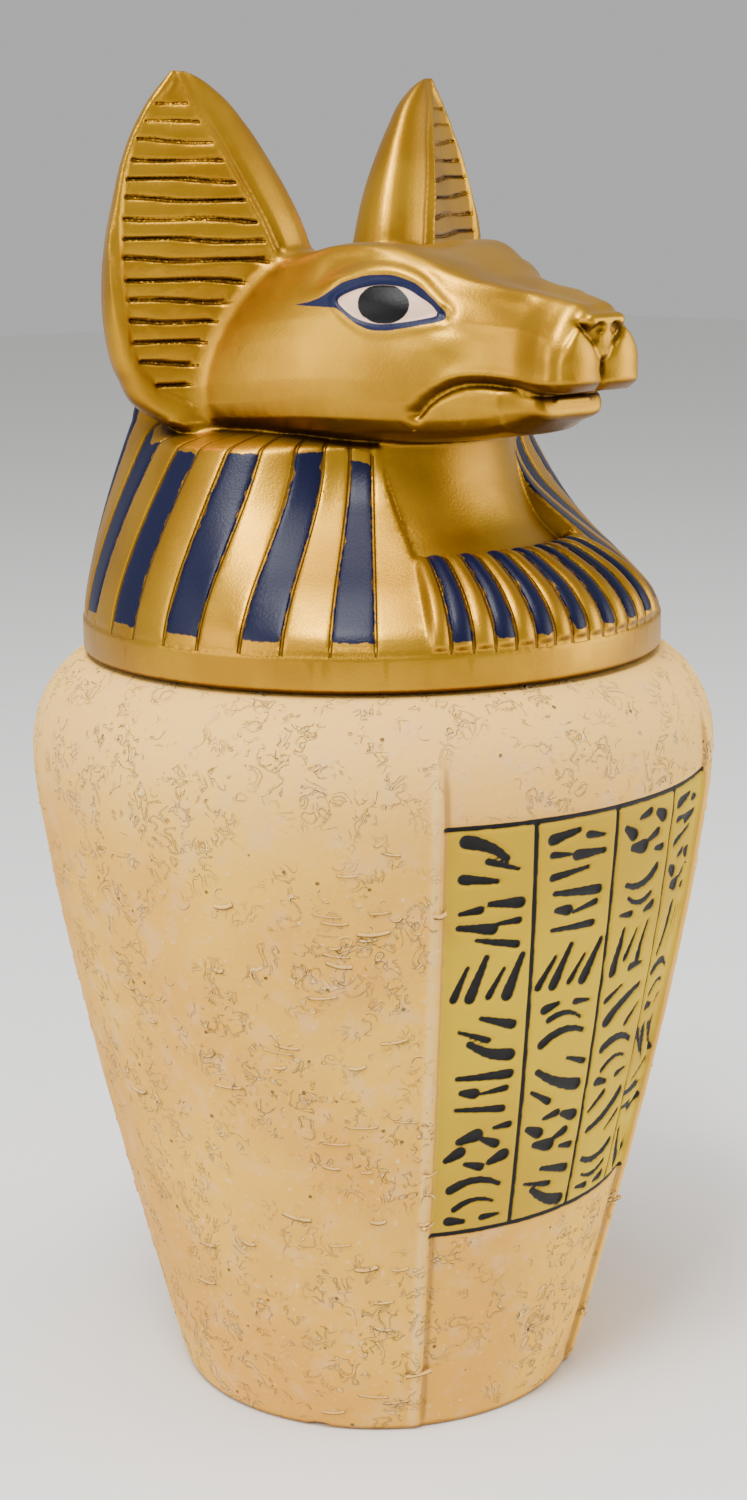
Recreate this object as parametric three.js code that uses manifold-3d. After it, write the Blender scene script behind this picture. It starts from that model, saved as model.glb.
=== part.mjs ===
// Canopic jar, a souvenir copy in cold-cast resin: a hollow tapered jar with a recessed,
// inscribed front, and a lid in the form of a jackal's head with a striped wig.
// Millimetres, +Z up, the front faces -Y, the origin is the centre of the jar's underside.

import * as THREE from 'three';
import { mergeVertices } from 'three/addons/utils/BufferGeometryUtils.js';
import Module from 'manifold-3d';

const wasm = await Module();
wasm.setup();

// ---- Driving dimensions ----
const baseRadius = 35.7;
const shoulderRadius = 59.8;      // the jar's widest ring
const shoulderZ = 116;
const shoulderDrop = 13.4;        // how far the shoulder's ellipse comes in
const jarTopZ = 132.7;
const footRound = 1.2;            // eased edge at the foot
const wall = 4.8;
const floorThickness = 6;
const mouthRadius = 36;
const lipDepth = 7;               // straight wall of the mouth, below which it flares to the inner wall
const flareDepth = 5;
const shoulderTurn = 80;          // degrees of the shoulder's ellipse, up to the flat lip
const frontHalfAngle = 31.6;      // degrees: the upright ridges stand here
const frontStep = 1.1;            // degrees taken by the step beside a ridge
const frontRecess = 0.9;          // depth of the front panel behind the wall
const recessFadeZ = 124;          // the recess runs out into the shoulder here

const lidGap = 0.3;
const rimRadius = 50.4;          // radius at the rim's lower edge
const rimHeight = 6.3;
const rimChamfer = 0.7;
const plugRadius = 34.8;
const plugDepth = 4.5;
const wigTopZ = 172;
const lappetAngle = 32;           // degrees: where neck and collar give way to the lappets
const stripePitch = 17.25;
const stripeCount = 17;
const firstStripeAngle = 38.5;    // centre of the blue stripe beside the neck on the +X side
const stripeWidth = 8.2;
const stripeRecess = 0.35;
const collarBlueRibs = 7;
const collarRibRelief = 0.7;

const earTilt = 28.8;             // degrees: how far each ear's face turns outward
const earCentre = [31, 9.7];      // a point on the ear's face plane, as x and y
const earTipZ = 230;

const degrees = Math.PI / 180;

// ---- Helpers ----

function smoothstep(low, high, value) {
  const t = Math.min(1, Math.max(0, (value - low) / (high - low)));
  return t * t * (3 - 2 * t);
}

function mix(a, b, t) {
  return a + (b - a) * t;
}

// Reads one value from rows of [key, value], with straight stretches between them.
function readRows(rows, key) {
  if (key <= rows[0][0]) return rows[0][1];
  for (let i = 1; i < rows.length; i += 1) {
    if (key <= rows[i][0]) {
      const t = (key - rows[i - 1][0]) / (rows[i][0] - rows[i - 1][0]);
      return mix(rows[i - 1][1], rows[i][1], t);
    }
  }
  return rows[rows.length - 1][1];
}

// Joins a stack of equal rings into one closed solid, with a flat fan on each end.
function solidFromRings(rings) {
  const size = rings[0].length;
  const positions = rings.flat().flatMap((p) => [p.x, p.y, p.z]);
  const index = [];
  for (let i = 0; i + 1 < rings.length; i += 1) {
    for (let j = 0; j < size; j += 1) {
      const k = (j + 1) % size;
      const a = i * size + j;
      const b = i * size + k;
      const c = (i + 1) * size + k;
      const d = (i + 1) * size + j;
      index.push(a, b, c, a, c, d);
    }
  }
  for (const [row, flip] of [[0, true], [rings.length - 1, false]]) {
    const centre = new THREE.Vector3();
    rings[row].forEach((p) => centre.addScaledVector(p, 1 / size));
    const tip = positions.length / 3;
    positions.push(centre.x, centre.y, centre.z);
    for (let j = 0; j < size; j += 1) {
      const a = row * size + j;
      const b = row * size + ((j + 1) % size);
      index.push(...(flip ? [b, a, tip] : [a, b, tip]));
    }
  }
  const geometry = new THREE.BufferGeometry();
  geometry.setAttribute('position', new THREE.Float32BufferAttribute(positions, 3));
  geometry.setIndex(index);
  return mergeVertices(geometry, 1e-4);
}

// A closed smooth section through hand-placed corners, as points in its own plane.
function smoothSection(corners, count) {
  const curve = new THREE.CatmullRomCurve3(
    corners.map(([u, v]) => new THREE.Vector3(u, v, 0)), true, 'centripetal');
  return curve.getPoints(count).slice(0, count);
}

function toManifold(geometry) {
  const mesh = new wasm.Mesh({
    numProp: 3,
    vertProperties: new Float32Array(geometry.attributes.position.array),
    triVerts: new Uint32Array(geometry.index.array),
  });
  return new wasm.Manifold(mesh);
}

function toGeometry(manifold) {
  const mesh = manifold.getMesh();
  const geometry = new THREE.BufferGeometry();
  geometry.setAttribute('position', new THREE.Float32BufferAttribute(mesh.vertProperties, 3));
  geometry.setIndex([...mesh.triVerts]);
  return geometry;
}

// Angle 0 is the front, -Y; positive angles turn towards +X.
function around(radius, angle, z) {
  return new THREE.Vector3(radius * Math.sin(angle * degrees), -radius * Math.cos(angle * degrees), z);
}

// ---- Jar ----

// The outer wall's radius at a few heights: a slightly crowned taper up to the shoulder.
const jarWallRows = [[0, baseRadius], [8.2, 38], [24.8, 42.2], [49.5, 48.2], [74.3, 53.5], [99.1, 57.9],
  [shoulderZ, shoulderRadius]];
const jarWallCurve = new THREE.SplineCurve(jarWallRows.map(([z, r]) => new THREE.Vector2(z, r)));
const jarWallSteps = 8;
const frontFacets = 13;
const roundFacets = 50;

function shoulderPoint(turn) {
  const height = (jarTopZ - shoulderZ) / Math.sin(shoulderTurn * degrees);
  return [
    shoulderRadius - shoulderDrop * (1 - Math.cos(turn * degrees)),
    shoulderZ + height * Math.sin(turn * degrees),
  ];
}

function makeJar() {
  const outer = [[baseRadius - footRound, 0, 0]];
  for (let i = 0; i < jarWallSteps; i += 1) {
    const at = jarWallCurve.getPoint(i / jarWallSteps);
    outer.push([at.y, Math.max(at.x, footRound), 1]);
  }
  for (const turn of [0, 20, 38, 54, 68, shoulderTurn]) {
    const [r, z] = shoulderPoint(turn);
    outer.push([r, z, z < recessFadeZ ? 1 : 0]);
  }
  const flareZ = jarTopZ - lipDepth;
  const inner = [[mouthRadius, jarTopZ, 0], [mouthRadius, flareZ, 0],
    [mouthRadius + lipDepth, flareZ - flareDepth, 0]];
  for (let i = jarWallSteps - 1; i >= 2; i -= 2) {
    const at = jarWallCurve.getPoint(i / jarWallSteps);
    inner.push([at.y - wall, at.x, 0]);
  }
  inner.push([baseRadius - wall + 1.5, floorThickness, 0]);
  const angles = [];
  const edges = [-frontHalfAngle, -frontHalfAngle + frontStep, frontHalfAngle - frontStep, frontHalfAngle];
  for (let i = 0; i < frontFacets; i += 1) angles.push(mix(edges[1], edges[2], i / frontFacets));
  angles.push(edges[2]);
  for (let i = 0; i < roundFacets; i += 1) angles.push(mix(edges[3], 360 + edges[0], i / roundFacets));
  angles.push(360 + edges[0]);
  const rings = [...outer, ...inner].map(([r, z, recessed]) => angles.map((angle) => {
    const turned = angle > 180 ? angle - 360 : angle;
    const inFront = Math.abs(turned) <= frontHalfAngle - frontStep + 0.01;
    return around(r - (inFront ? frontRecess * recessed : 0), angle, z);
  }));
  return solidFromRings(rings);
}

// ---- Wig, collar, neck and rim, as one turned form that changes with the angle ----

const wigFootR = 50.1;
const wigFootZ = 139.6;
const frontProfile = [[wigFootR, wigFootZ], [49.4, 142.2], [47.6, 145], [44.2, 148.2], [38.6, 151.6],
  [33.6, 152], [29.4, 155.6], [26.6, 161], [25, 167], [24.6, wigTopZ]];
const lappetProfile = [[wigFootR, wigFootZ], [49, 142], [47, 144.4], [43.4, 148], [39, 151.4], [35, 154.6],
  [31, 158], [27.8, 161.4], [25.4, 166], [24.8, wigTopZ]];
const wigTopRadius = [[40, 25], [62, 31.5], [96, 34.2], [116, 37.4], [130, 41], [180, 42]];

function foldAngle(angle) {
  const turned = ((angle + 180) % 360 + 360) % 360 - 180;
  return Math.abs(turned);
}

// A point of the wig's side wall at one of its rows.
function wigPoint(angle, row) {
  const side = foldAngle(angle);
  if (side <= lappetAngle) return frontProfile[row];
  const t = row / (lappetProfile.length - 1);
  const z = mix(wigFootZ, wigTopZ, t);
  const bulged = mix(wigFootR, readRows(wigTopRadius, side), t ** 1.4);
  const spread = smoothstep(46, 92, side); // the lappets fill out into the wig's full side
  const [lappetR, lappetZ] = lappetProfile[row];
  return [mix(lappetR, bulged, spread), mix(lappetZ, z, spread)];
}

// Raised collar ribs and sunk blue stripes, as an offset of the wall along its radius.
function reliefSamples() {
  const samples = [];
  const ribs = 2 * collarBlueRibs + 1;
  const ribWidth = 2 * lappetAngle / ribs;
  for (let i = 0; i < ribs; i += 1) {
    const start = -lappetAngle + i * ribWidth;
    samples.push({ angle: start + 0.02, rib: 0, sunk: 0 });
    samples.push({ angle: start + ribWidth * 0.3, rib: 0.85, sunk: 0 });
    samples.push({ angle: start + ribWidth * 0.7, rib: 0.85, sunk: 0 });
  }
  samples.push({ angle: lappetAngle, rib: 0, sunk: 0 });
  samples.push({ angle: lappetAngle + 0.8, rib: 0, sunk: 0 });
  for (let i = 0; i < stripeCount; i += 1) {
    const centre = firstStripeAngle + i * stripePitch;
    const half = stripeWidth / 2;
    samples.push({ angle: centre - half, rib: 0, sunk: 0 });
    samples.push({ angle: centre - half + 0.5, rib: 0, sunk: 1 });
    samples.push({ angle: centre + half - 0.5, rib: 0, sunk: 1 });
    samples.push({ angle: centre + half, rib: 0, sunk: 0 });
  }
  samples.push({ angle: 360 - lappetAngle - 0.8, rib: 0, sunk: 0 });
  return samples;
}

function makeWig() {
  const samples = reliefSamples();
  const underZ = jarTopZ + lidGap;
  const rimTopZ = underZ + rimHeight;
  const plain = (r, z) => samples.map((s) => around(r, s.angle, z));
  const rings = [
    plain(plugRadius, underZ - plugDepth),
    plain(plugRadius, underZ),
    plain(rimRadius - rimChamfer, underZ),
    plain(rimRadius, underZ + rimChamfer),
    plain(rimRadius + 0.2, rimTopZ - rimChamfer),
  ];
  for (let row = 0; row < frontProfile.length; row += 1) {
    rings.push(samples.map((s) => {
      const [r, z] = wigPoint(s.angle, row);
      const onCollar = row > 0 && row < 5 ? 1 : 0;
      const onStripe = row > 0 ? 1 : 0;
      return around(r + collarRibRelief * s.rib * onCollar - stripeRecess * s.sunk * onStripe, s.angle, z);
    }));
  }
  // The crown closes low under the jaw and domes up behind the ears.
  for (const turn of [38, 72]) {
    rings.push(samples.map((s) => {
      const [r] = wigPoint(s.angle, frontProfile.length - 1);
      const lift = mix(4, 20, smoothstep(80, 150, foldAngle(s.angle)));
      return around(r * Math.cos(turn * degrees), s.angle, wigTopZ + lift * Math.sin(turn * degrees));
    }));
  }
  return solidFromRings(rings);
}

// ---- Head ----

// Each row is one upright section of the head, from the nose back:
// y, crown z, top half width and z, cheek half width and z, jaw half width and z, chin z.
const headSections = [
  [-55.2, 191.1, 3.6, 190.9, 4.9, 187.5, 3.0, 184.4, 184.0],
  [-53.6, 191.8, 4.6, 191.5, 8.8, 185.0, 7.6, 176.6, 175.0],
  [-50, 192.6, 5.2, 192.4, 9.3, 184.5, 8.3, 175.0, 173.5],
  [-44, 193.6, 6.0, 193.4, 9.9, 184.5, 9.0, 174.0, 172.3],
  [-38, 194.7, 6.6, 194.3, 12.0, 184.5, 10.6, 172.8, 171.2],
  [-32, 196.3, 8.5, 195.6, 14.8, 185.0, 13.2, 172.2, 170.4],
  [-26, 199.2, 12.0, 198.2, 18.0, 186.0, 16.6, 172.0, 169.8],
  [-20, 201.6, 14.5, 200.8, 20.8, 187.0, 19.6, 172.0, 169.5],
  [-12, 202.8, 16.0, 202.0, 24.2, 187.0, 23.0, 172.0, 169.0],
  [-2, 203.2, 17.0, 202.2, 26.8, 186.0, 25.5, 171.5, 168.5],
  [10, 202.0, 16.0, 200.5, 28.0, 184.0, 26.5, 171.0, 168.0],
  [22, 198.0, 14.0, 196.0, 27.0, 181.0, 25.0, 170.5, 168.0],
  [32, 190.0, 10.0, 188.5, 20.0, 178.0, 18.0, 171.0, 169.0],
  [37, 182.0, 5.0, 181.0, 10.0, 176.0, 8.0, 172.0, 171.0],
];
const headSides = 20;

function makeHead() {
  const rings = headSections.map(([y, crownZ, topW, topZ, cheekW, cheekZ, jawW, jawZ, chinZ]) => {
    const corners = [[0, chinZ], [jawW, jawZ], [cheekW, cheekZ], [topW, topZ], [0, crownZ],
      [-topW, topZ], [-cheekW, cheekZ], [-jawW, jawZ]];
    return smoothSection(corners, headSides).map((p) => new THREE.Vector3(p.x, y, p.y));
  });
  return solidFromRings(rings.reverse());
}

// ---- Ears ----

// Each row is one level section of an ear: z, outer edge, ridge, inner bulge, back depth, lean.
// The first three are distances across the ear's face, positive away from the head.
const earSections = [
  [171, -3, -9, -13, -6, 0],
  [174, 5.5, -12.3, -17, -9, 0],
  [180, 12.3, -14, -20, -12, 0],
  [188, 13.7, -15.5, -22, -14, 0],
  [196, 13.8, -16.5, -23, -14.5, 0],
  [203, 13.1, -12.9, -21.4, -14.3, 0],
  [209, 11.8, -10.5, -18.8, -12.8, -0.9],
  [215, 10.2, -7.7, -15.4, -10.6, -2],
  [221, 7.6, -4.5, -11.4, -7.8, -3.3],
  [226, 4.4, -2, -7, -5, -4.4],
  [228.6, 2.2, -0.4, -3.4, -2.6, -5],
  [earTipZ, 1.0, 0.6, -0.6, -1, -5.3],
];

function makeEar(side) {
  const faceTurn = earTilt * degrees;
  const rings = earSections.map(([z, outer, ridge, bulge, back, lean]) => {
    const corners = [[outer, 0], [mix(outer, ridge, 0.5), -0.25], [ridge, 0],
      [mix(ridge, bulge, 0.8), back * 0.3], [bulge, back * 0.62], [mix(bulge, ridge, 0.6), back],
      [mix(ridge, outer, 0.45), back * 0.85], [outer - 0.8, back * 0.22]];
    return corners.map(([across, depth]) => {
      const n = depth + lean;
      const x = earCentre[0] + across * Math.cos(faceTurn) + n * Math.sin(faceTurn);
      const y = earCentre[1] + across * Math.sin(faceTurn) - n * Math.cos(faceTurn);
      return new THREE.Vector3(side * x, y, z);
    });
  });
  if (side > 0) rings.forEach((ring) => ring.reverse());
  return solidFromRings(rings);
}

function makeLid() {
  const pieces = [makeHead(), makeEar(-1), makeEar(1)].map(toManifold);
  const whole = pieces.reduce((sum, piece) => sum.add(piece), toManifold(makeWig()));
  return toGeometry(whole);
}

// ---- Assembly ----

function named(name, geometry, color, roughness, metalness) {
  const mesh = new THREE.Mesh(geometry, new THREE.MeshStandardMaterial({ color, roughness, metalness }));
  mesh.name = name;
  return mesh;
}

const canopicJar = new THREE.Group();
canopicJar.add(named('jar', makeJar(), 0xe6c690, 0.75, 0));
canopicJar.add(named('lid', makeLid(), 0xb8892f, 0.4, 0.6));

export default canopicJar;
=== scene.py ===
import math
import bpy
import numpy as np
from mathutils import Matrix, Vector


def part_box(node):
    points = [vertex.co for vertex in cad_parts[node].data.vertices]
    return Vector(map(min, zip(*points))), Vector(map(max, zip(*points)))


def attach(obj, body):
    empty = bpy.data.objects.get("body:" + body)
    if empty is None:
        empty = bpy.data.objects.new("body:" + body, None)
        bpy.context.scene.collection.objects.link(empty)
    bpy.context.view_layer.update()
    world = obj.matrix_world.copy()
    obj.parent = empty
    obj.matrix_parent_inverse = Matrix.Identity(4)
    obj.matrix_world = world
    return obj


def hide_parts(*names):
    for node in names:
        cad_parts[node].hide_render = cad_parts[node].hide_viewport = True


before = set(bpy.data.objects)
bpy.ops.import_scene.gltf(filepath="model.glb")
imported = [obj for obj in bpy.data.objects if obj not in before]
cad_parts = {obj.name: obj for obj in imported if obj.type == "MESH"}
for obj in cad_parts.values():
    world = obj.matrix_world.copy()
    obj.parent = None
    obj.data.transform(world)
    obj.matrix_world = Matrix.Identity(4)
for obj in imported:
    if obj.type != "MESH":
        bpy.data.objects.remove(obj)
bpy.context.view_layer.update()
jarBox = [np.array(corner) * 1000 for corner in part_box("jar")]  # mm, as all shaping below is
lidBox = [np.array(corner) * 1000 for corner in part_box("lid")]
jarTop = float(jarBox[1][2])
lidTop = float(lidBox[1][2])
print("frame loaded, jar top", round(jarTop, 1), "lid top", round(lidTop, 1))


def smooth(low, high, value):
    t = np.clip((value - low) / (high - low), 0, 1)
    return t * t * (3 - 2 * t)


perDegree = np.radians(1.0)


def mix(a, b, t):
    return a + (b - a) * t


def bell(value, width):
    return np.exp(-(value / width) ** 2)


def hermite(t, start, end, leave, arrive):
    # a cubic from start to end, with the slopes it leaves and arrives at
    return ((2 * t**3 - 3 * t**2 + 1) * start + (t**3 - 2 * t**2 + t) * leave
            + (-2 * t**3 + 3 * t**2) * end + (t**3 - t**2) * arrive)


def placeObject(name, data):
    thing = bpy.data.objects.new(name, data)
    bpy.context.scene.collection.objects.link(thing)
    return thing


def aim(thing, across, up, back, spot):
    # turn and place a camera or lamp by its own axes; metres
    rows = [[across[i], up[i], back[i], spot[i]] for i in range(3)] + [[0, 0, 0, 1]]
    thing.matrix_world = [list(column) for column in np.array(rows).T]


def finishedMesh(thing):
    # its mesh with the modifiers applied
    return bpy.data.meshes.new_from_object(thing.evaluated_get(bpy.context.evaluated_depsgraph_get()))


def smoothShaded(mesh):
    mesh.polygons.foreach_set("use_smooth", [True] * len(mesh.polygons))


def newPiece(name, points, faces, node, material):
    mesh = bpy.data.meshes.new(name)
    mesh.from_pydata((np.asarray(points) * 0.001).tolist(), [], faces)
    mesh.validate()
    smoothShaded(mesh)
    mesh.materials.append(material)
    piece = placeObject(name, mesh)
    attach(piece, "root")
    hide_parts(node)
    return piece


def setAttribute(mesh, name, values):
    layer = mesh.attributes.new(name, "FLOAT", "POINT")
    layer.data.foreach_set("value", np.asarray(values, np.float32))


# Colours are given as sRGB hex and turned to linear here.
def linearHex(code):
    parts = [int(code[i:i + 2], 16) / 255 for i in (1, 3, 5)]
    return tuple(c / 12.92 if c <= 0.04045 else ((c + 0.055) / 1.055) ** 2.4 for c in parts) + (1.0,)


def addNode(tree, kind, settings=None, inputs=None):
    node = tree.nodes.new(kind)
    for key, value in (settings or {}).items():
        setattr(node, key, value)
    for key, value in (inputs or {}).items():
        if isinstance(value, bpy.types.NodeSocket):
            tree.links.new(value, node.inputs[key])
        else:
            node.inputs[key].default_value = value
    return node


def noise(tree, coords, size, detail=4.0):
    # size is the pattern's width in mm
    inputs = {"Vector": coords, "Scale": 1000 / size, "Detail": detail}
    return addNode(tree, "ShaderNodeTexNoise", {}, inputs).outputs["Fac"]


def step(tree, value, low, high):
    # a smooth ramp from 0 at low to 1 at high
    return addNode(tree, "ShaderNodeMapRange", {"interpolation_type": "SMOOTHSTEP"},
                   {"Value": value, "From Min": low, "From Max": high}).outputs["Result"]


def maths(tree, operation, first, second=0.0):
    return addNode(tree, "ShaderNodeMath", {"operation": operation}, {0: first, 1: second}).outputs[0]


def times(tree, first, second):
    return maths(tree, "MULTIPLY", first, second)


def blendColour(tree, factor, first, second):
    ends = {key: linearHex(end) if isinstance(end, str) else end for key, end in ((6, first), (7, second))}
    return addNode(tree, "ShaderNodeMix", {"data_type": "RGBA"}, {0: factor, **ends}).outputs[2]


def layered(tree, colour, layers):
    # layers of paint or wash, each as where it lies, how strong it is and its colour
    for where, strength, code in layers:
        colour = blendColour(tree, times(tree, where, strength), colour, code)
    return colour


def attributeNode(tree, name):
    return addNode(tree, "ShaderNodeAttribute", {"attribute_name": name}).outputs["Fac"]


def partOf(tree, vector, axis):
    return addNode(tree, "ShaderNodeSeparateXYZ", {}, {0: vector}).outputs[axis]


def faceDown(tree, low, high):
    # how much a surface faces the floor
    normal = addNode(tree, "ShaderNodeNewGeometry").outputs["Normal"]
    return step(tree, partOf(tree, normal, "Z"), low, high)


def openness(tree, reach, samples):
    # 1 on open faces and less in hollows, looking round over a reach in metres
    node = addNode(tree, "ShaderNodeAmbientOcclusion", {"samples": samples}, {"Distance": reach})
    return node.outputs["AO"]


def bumpNode(tree, strength, depth, height, under=None):
    inputs = {"Strength": strength, "Distance": depth, "Height": height}
    if under:
        inputs["Normal"] = under
    return addNode(tree, "ShaderNodeBump", {}, inputs).outputs["Normal"]


def addSurface(tree, inputs):
    shader = addNode(tree, "ShaderNodeBsdfPrincipled", {}, inputs)
    addNode(tree, "ShaderNodeOutputMaterial", {}, {"Surface": shader.outputs[0]})


# The camera stands in front and to the jackal's right, a little above the rim.
view = {"turn": -42.0, "distance": 434.0, "height": 209.3, "pitch": 12.5, "roll": -0.64, "lens": 60.08}


def makeCamera():
    turn, pitch, roll = (math.radians(view[k]) for k in ("turn", "pitch", "roll"))
    side = np.array([math.cos(turn), math.sin(turn), 0])
    ahead = np.array([-math.sin(turn), math.cos(turn), 0])
    look = ahead * math.cos(pitch) - np.array([0, 0, math.sin(pitch)])
    up = ahead * math.sin(pitch) + np.array([0, 0, math.cos(pitch)])
    right = side * math.cos(roll) + up * math.sin(roll)
    top = -side * math.sin(roll) + up * math.cos(roll)
    spot = -ahead * view["distance"] + np.array([0, 0, view["height"]])
    data = bpy.data.cameras.new("camera")
    data.lens = view["lens"]
    data.sensor_width = 36
    data.clip_start = 0.01
    camera = placeObject("camera", data)
    aim(camera, right, top, -look, spot * 0.001)
    bpy.context.scene.camera = camera


makeCamera()
print("camera placed")

# The jar, in mm and degrees: its wall as height and radius, then the front, the panel and the relief.
jar = {
    "wallRows": [[0, 35.7], [8.2, 38], [24.8, 42.2], [49.5, 48.2], [74.3, 53.5], [99.1, 57.9], [116, 59.8]],
    "shoulderDrop": 13.4, "mouth": 36.0, "wall": 4.8, "floor": 6.0, "foot": 1.2,
    "ridgeAngle": 31.9, "ridgeWidth": 1.7, "stepWidth": 1.1, "recess": 1.0,
    "panelLow": 39.7, "panelHigh": 112.9, "lineWidth": 0.85, "strokeDepth": 0.6, "markRows": 7, "markSeed": 7,
    "chipAngle": -60, "chipDepth": 0.9, "tornAngle": 42,
    "relief": 0.35, "curls": 36000, "dashes": 9000, "reliefSeed": 3,  # the two counts are for a square metre
    "stone": ("#E0A238", "#F0B83E"), "yellow": ("#BE9800", "#CCA800"), "black": "#080605",
}
wallZ = np.array([row[0] for row in jar["wallRows"]], float)
wallR = np.array([row[1] for row in jar["wallRows"]], float)
wallSlope = np.gradient(wallR, wallZ)
wallSlope[-1] = 0.0  # upright where the shoulder begins
shoulderZ = wallZ[-1]
shoulderR = wallR[-1]


def wallRadius(z):
    # cubic through the wall's named stations
    i = np.clip(np.searchsorted(wallZ, z) - 1, 0, len(wallZ) - 2)
    gap = wallZ[i + 1] - wallZ[i]
    t = np.clip((z - wallZ[i]) / gap, 0, 1)
    return hermite(t, wallR[i], wallR[i + 1], gap * wallSlope[i], gap * wallSlope[i + 1])


def jarOutline():
    # outer wall upwards as (radius, z), from the eased foot to the lip
    rows = [(wallR[0] - jar["foot"], 0.0), (wallR[0] - 0.35, 0.3), (wallR[0] + 0.15, 1.1)]
    low = np.arange(2.0, jar["panelLow"] - 1.5, 1.0)
    middle = np.arange(jar["panelLow"] - 1.5, jar["panelHigh"] + 1.5, 0.48)
    high = np.arange(jar["panelHigh"] + 1.8, shoulderZ, 0.8)
    rows += [(float(wallRadius(z)), float(z)) for z in np.concatenate([low, middle, high])]
    tall = (jarTop - shoulderZ) / math.sin(math.radians(80))
    for turn in np.linspace(0, 80, 25):
        a = math.radians(turn)
        drop = jar["shoulderDrop"] * (1 - math.cos(a))
        rows.append((shoulderR - drop, shoulderZ + tall * math.sin(a)))
    return rows


dividerAngles = [(-16.1, -12.5), (0.2, 3.9), (16.5, 20.2)]  # at the panel's top and foot, degrees
panelSides = (-30.9, 31.4)


def segmentDistance(px, py, ax, ay, bx, by):
    dx, dy = bx - ax, by - ay
    t = np.clip(((px - ax) * dx + (py - ay) * dy) / (dx * dx + dy * dy + 1e-9), 0, 1)
    return np.hypot(px - ax - t * dx, py - ay - t * dy)


def columnEdges(z):
    t = np.clip((jar["panelHigh"] - z) / (jar["panelHigh"] - jar["panelLow"]), 0, 1)
    inner = [mix(top, foot, t) for top, foot in dividerAngles]
    return [panelSides[0] + 0 * t] + inner + [panelSides[1] + 0 * t]


# Each mark is a loose group of bars, wedges and bows that stand clear of each other and spell nothing.
# A stroke is its middle across and up the cell, length in cell heights, lean in degrees, bend
# and half width in mm.
markGroups = [
    [(.16, .54, .90, 72, 0, 1.2), (.44, .60, .66, 66, 0, .8), (.74, .56, .84, 70, .05, 1.0),
     (.66, .10, .50, 4, 0, .8)],
    [(.48, .84, 1.15, 3, 0, 1.0), (.34, .52, .62, -6, 0, .7), (.70, .54, .30, 8, 0, 1.1),
     (.52, .18, 1.05, 2, 0, .8)],
    [(.50, .78, 1.1, -4, .16, 1.0), (.50, .40, .86, 4, .16, .7), (.24, .10, .34, -10, 0, 1.0),
     (.78, .12, .40, 8, 0, .7)],
    [(.50, .50, 1.25, 30, .06, 1.3), (.20, .80, .56, 26, 0, .7), (.80, .20, .56, 34, 0, .8)],
    [(.12, .50, .72, 62, 0, .8), (.36, .58, .92, 66, 0, 1.1), (.62, .46, .66, 60, 0, .7),
     (.88, .56, .90, 64, 0, 1.2)],
    [(.30, .84, .66, 6, 0, 1.1), (.78, .74, .44, -8, 0, .8), (.26, .48, .50, -6, 0, .7),
     (.70, .42, .72, 4, 0, 1.1), (.40, .12, .90, 8, 0, .8)],
    [(.20, .78, .34, 20, 0, 1.3), (.56, .86, .36, -14, 0, .9), (.86, .62, .34, 30, 0, 1.2),
     (.34, .40, .36, -20, 0, 1.0), (.66, .28, .40, 12, 0, 1.4), (.16, .12, .34, 8, 0, .8)],
    [(.30, .50, 1.0, 112, .06, 1.5), (.64, .52, .86, 108, 0, .7), (.90, .50, .56, 104, 0, 1.0)],
    [(.42, .74, .96, -22, .08, 1.3), (.66, .44, .70, -16, 0, .7), (.34, .20, .74, -12, 0, 1.0)],
]


def panelStrokes():
    random = np.random.default_rng(jar["markSeed"])
    strokes = []
    rows = jar["markRows"]
    high, low = jar["panelHigh"] - 1.0, jar["panelLow"] + 0.8
    tall = (high - low) / rows
    last = 0
    for column in range(len(dividerAngles) + 1):
        for row in range(rows):
            last = (last + int(random.integers(1, len(markGroups)))) % len(markGroups)
            flipAcross, flipUp = random.random(2) < 0.5
            for across, up, long, lean, bend, thick in markGroups[last]:
                across, lean = (1 - across, 180 - lean) if flipAcross else (across, lean)
                up, lean = (1 - up, -lean) if flipUp else (up, lean)
                lean = math.radians(lean + random.uniform(-6, 6))
                reach = long * tall * 0.8
                chain = []
                for t in np.linspace(-0.5, 0.5, 6):
                    sway = bend * (1 - 4 * t * t)
                    z = high - (row + 0.5) * tall + (up - 0.5) * tall * 0.9
                    z += reach * (math.sin(lean) * t + math.cos(lean) * sway)
                    edges = columnEdges(z)
                    angle = mix(edges[column], edges[column + 1], 0.1 + 0.8 * across)
                    turn = reach * (math.cos(lean) * t - math.sin(lean) * sway)
                    angle += turn / (math.radians(1) * float(wallRadius(z)))
                    chain.append((angle, z, thick * (0.7 - 0.5 * t)))
                strokes += list(zip(chain[:-1], chain[1:]))
    return strokes


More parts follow.
